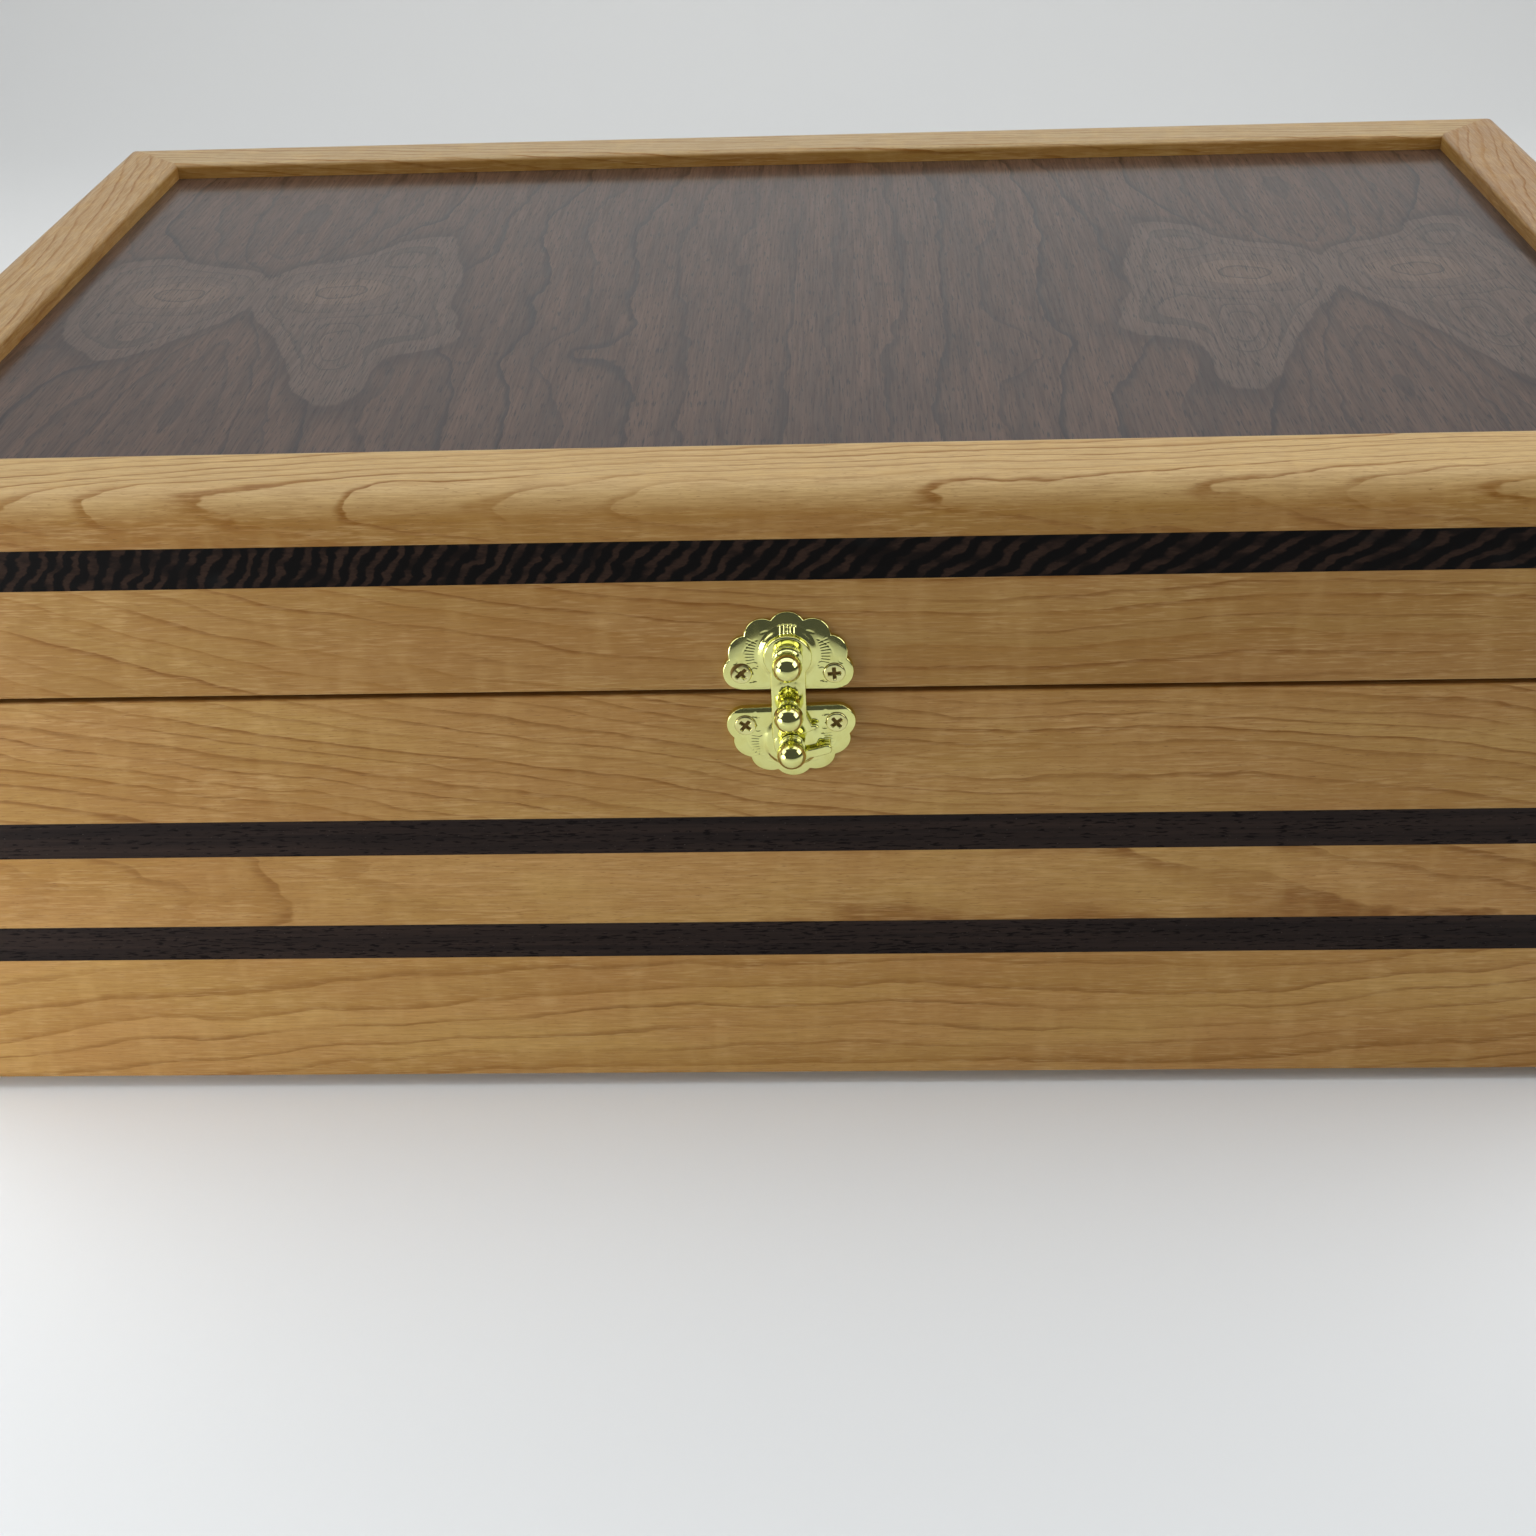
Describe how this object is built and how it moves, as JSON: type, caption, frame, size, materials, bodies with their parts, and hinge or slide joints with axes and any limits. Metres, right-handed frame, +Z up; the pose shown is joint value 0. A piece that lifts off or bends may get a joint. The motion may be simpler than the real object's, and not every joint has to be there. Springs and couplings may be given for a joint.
{
  "type": "hinged keepsake box",
  "caption": "Rectangular hinged wooden keepsake box with dark inlaid wall strips, a framed veneered lid panel and a small swing-hook latch.",
  "frame": {"origin": "on the surface the box stands on, below the centre of the wooden case", "axes": "+X to the right along the front wall, +Y from the latched front wall to the hinged back wall, +Z up"},
  "size_m": [0.4444, 0.3076, 0.1574],
  "materials": {
    "cherry": "satin",
    "plain_dark_strip": "satin",
    "figured_dark_strip": "satin",
    "walnut_veneer": "gloss",
    "backing_veneer": "satin",
    "plywood": "matte",
    "latch_brass": "polished",
    "hinge_brass": "satin",
    "foot_rubber": "matte"
  },
  "bodies": {
    "base": {"base_bottom_board_front": "cherry", "base_bottom_board_back": "cherry", "base_bottom_board_left": "cherry", "base_bottom_board_right": "cherry", "base_lower_strip_front": "plain_dark_strip", "base_lower_strip_back": "plain_dark_strip", "base_lower_strip_left": "plain_dark_strip", "base_lower_strip_right": "plain_dark_strip", "base_middle_board_front": "cherry", "base_middle_board_back": "cherry", "base_middle_board_left": "cherry", "base_middle_board_right": "cherry", "base_upper_strip_front": "plain_dark_strip", "base_upper_strip_back": "plain_dark_strip", "base_upper_strip_left": "plain_dark_strip", "base_upper_strip_right": "plain_dark_strip", "base_top_board_front": "cherry", "base_top_board_back": "cherry", "base_top_board_left": "cherry", "base_top_board_right": "cherry", "base_floor_panel": "plywood", "foot_front_left": "foot_rubber", "foot_front_right": "foot_rubber", "foot_back_left": "foot_rubber", "foot_back_right": "foot_rubber", "hinge_left_base_leaf": "hinge_brass", "hinge_left_pin": "hinge_brass", "hinge_right_base_leaf": "hinge_brass", "hinge_right_pin": "hinge_brass", "hinge_screws_base": "hinge_brass", "latch_lower_plate": "latch_brass", "latch_screws_lower": "latch_brass", "latch_stud_knob": "latch_brass"},
    "lid": {"lid_board_front": "cherry", "lid_board_back": "cherry", "lid_board_left": "cherry", "lid_board_right": "cherry", "lid_strip_front": "figured_dark_strip", "lid_strip_back": "figured_dark_strip", "lid_strip_left": "figured_dark_strip", "lid_strip_right": "figured_dark_strip", "lid_top_rail_front": "cherry", "lid_top_rail_back": "cherry", "lid_top_rail_left": "cherry", "lid_top_rail_right": "cherry", "lid_panel_core": "plywood", "lid_panel_backing_veneer": "backing_veneer", "lid_veneer_leaf_left_outer": "walnut_veneer", "lid_veneer_leaf_left_inner": "walnut_veneer", "lid_veneer_leaf_right_inner": "walnut_veneer", "lid_veneer_leaf_right_outer": "walnut_veneer", "hinge_left_lid_leaf": "hinge_brass", "hinge_right_lid_leaf": "hinge_brass", "hinge_screws_lid": "hinge_brass", "latch_upper_plate": "latch_brass", "latch_screws_upper": "latch_brass", "latch_pivot_knob": "latch_brass"},
    "hook": {"latch_hook": "latch_brass", "latch_finger_knob": "latch_brass"}
  },
  "joints": [
    {"name": "lid_hinge", "type": "hinge", "parent": "base", "child": "lid", "pos_m": [0, 0.1478, 0.1093], "axis": [-1, 0, 0], "range_deg": [0, 100]},
    {"name": "hook_pivot", "type": "hinge", "parent": "lid", "child": "hook", "pos_m": [0, -0.1445, 0.1191], "axis": [0, 1, 0], "range_deg": [0, 120]}
  ]
}
